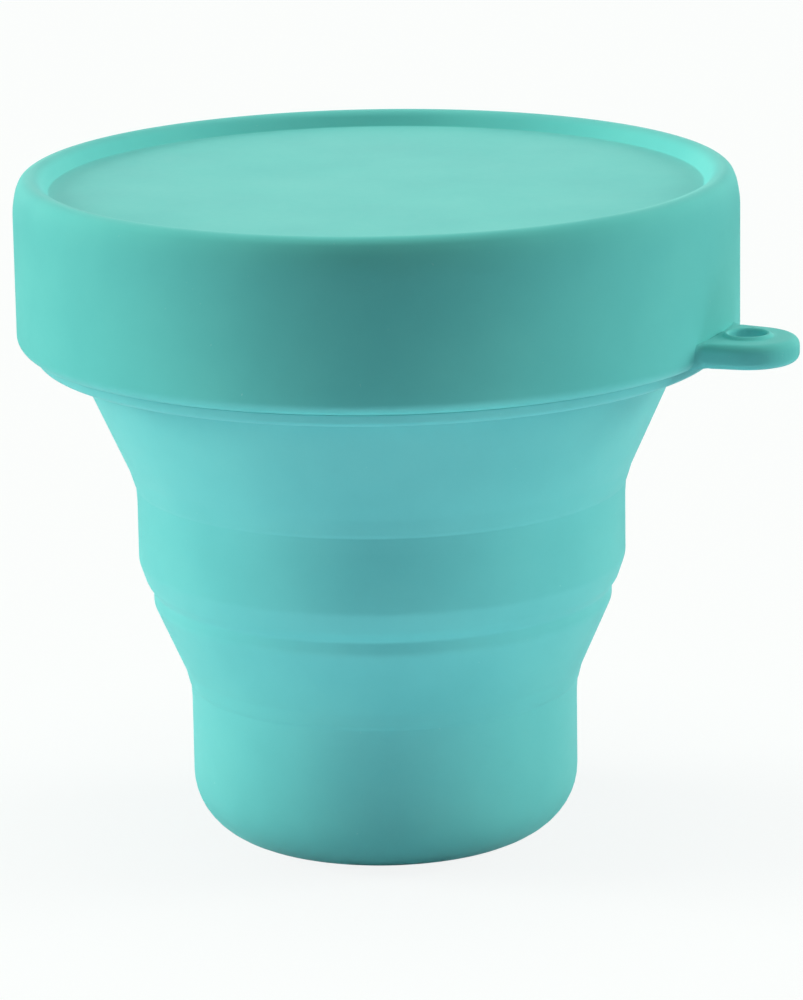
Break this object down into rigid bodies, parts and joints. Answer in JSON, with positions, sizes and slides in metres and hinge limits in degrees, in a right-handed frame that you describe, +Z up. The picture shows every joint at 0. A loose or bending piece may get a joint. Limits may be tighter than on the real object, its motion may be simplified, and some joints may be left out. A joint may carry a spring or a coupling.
{
  "type": "collapsible travel cup",
  "caption": "Soft silicone travel cup of stepped tiers that fold down into each other, with a push-on lid and a hang tab with an eyelet.",
  "frame": {"origin": "centre of the flat face that the cup stands on, under the cup's axis", "axes": "+Z up along the cup's axis to the lid, +X towards the hang tab"},
  "size_m": [0.0999, 0.09, 0.0848],
  "materials": {
    "cup_silicone": "matte",
    "lid_silicone": "matte"
  },
  "bodies": {
    "base": {"base_floor": "cup_silicone", "base_tier": "cup_silicone", "lower_fold": "cup_silicone"},
    "middle": {"middle_tier": "cup_silicone", "upper_fold": "cup_silicone"},
    "mouth": {"mouth_tier": "cup_silicone"},
    "lid": {"lid": "lid_silicone", "hang_tab": "lid_silicone"}
  },
  "joints": [
    {"name": "lower_fold_press", "type": "slide", "parent": "base", "child": "middle", "axis": [0, 0, -1], "range_m": [0, 0.023], "deforming": ["lower_fold"]},
    {"name": "upper_fold_press", "type": "slide", "parent": "middle", "child": "mouth", "axis": [0, 0, -1], "range_m": [0, 0.0322], "deforming": ["upper_fold"]},
    {"name": "lid_lift", "type": "slide", "parent": "mouth", "child": "lid", "axis": [0, 0, 1], "range_m": [0, 0.05]}
  ]
}
